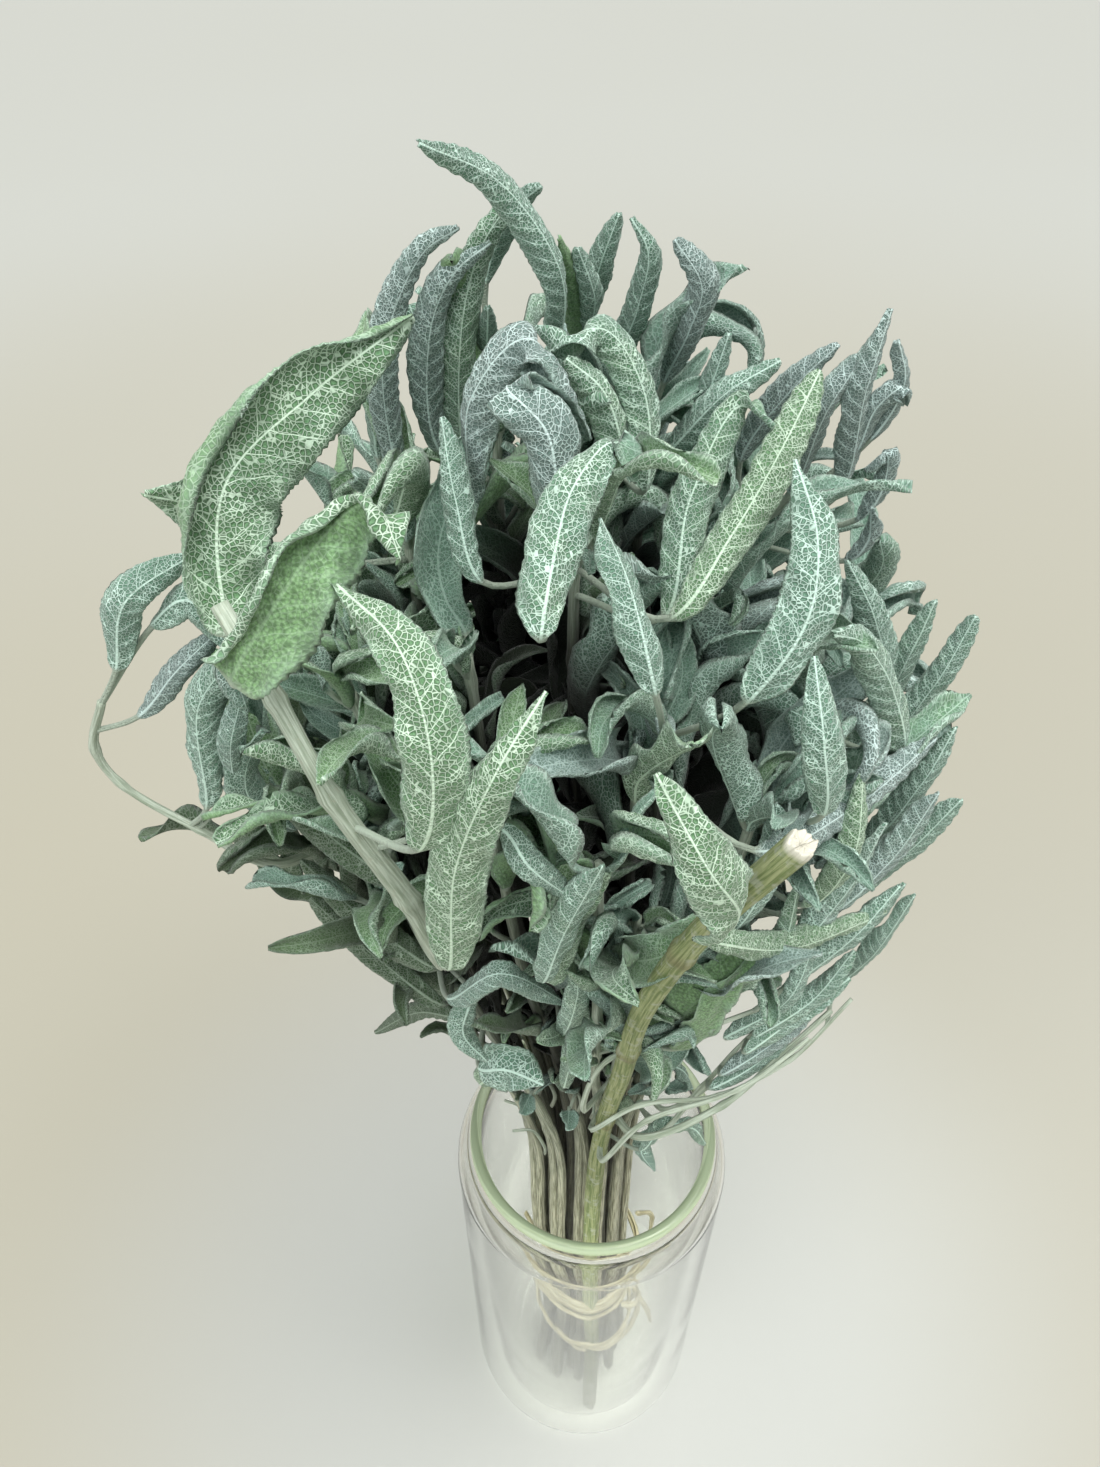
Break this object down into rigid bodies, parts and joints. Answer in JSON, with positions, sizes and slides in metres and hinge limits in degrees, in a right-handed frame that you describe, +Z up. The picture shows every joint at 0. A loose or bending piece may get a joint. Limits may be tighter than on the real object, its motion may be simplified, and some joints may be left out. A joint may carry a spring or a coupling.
{
  "type": "sage bunch",
  "caption": "Bunch of dried sage, tied with raffia and standing in a clear glass jar; long felted leaves fan out above straight stems.",
  "frame": {"origin": "centre of the flat underside of the glass jar", "axes": "+Z up along the jar, -Y towards the front, +X to the right"},
  "size_m": [0.1755, 0.1588, 0.429],
  "materials": {
    "glass": "clear, faintly green at the rim",
    "raffia": "dry straw, split along its grain",
    "stalk": "dry bark, white pith at the cut",
    "sage": "matt grey-green felt with a raised pale vein net"
  },
  "bodies": {
    "root": {"glass_jar": "glass", "raffia_tie": "raffia", "cut_stalk": "stalk", "sprig_01": "sage", "sprig_02": "sage", "sprig_03": "sage", "sprig_04": "sage", "sprig_05": "sage", "sprig_06": "sage", "sprig_07": "sage", "sprig_08": "sage", "sprig_09": "sage", "sprig_10": "sage", "sprig_11": "sage", "sprig_12": "sage", "sprig_13": "sage", "sprig_14": "sage", "sprig_15": "sage", "sprig_16": "sage", "sprig_17": "sage", "sprig_18": "sage", "sprig_19": "sage", "sprig_20": "sage", "sprig_21": "sage", "sprig_22": "sage", "sprig_23": "sage", "sprig_24": "sage", "sprig_25": "sage", "sprig_26": "sage"}
  },
  "joints": []
}
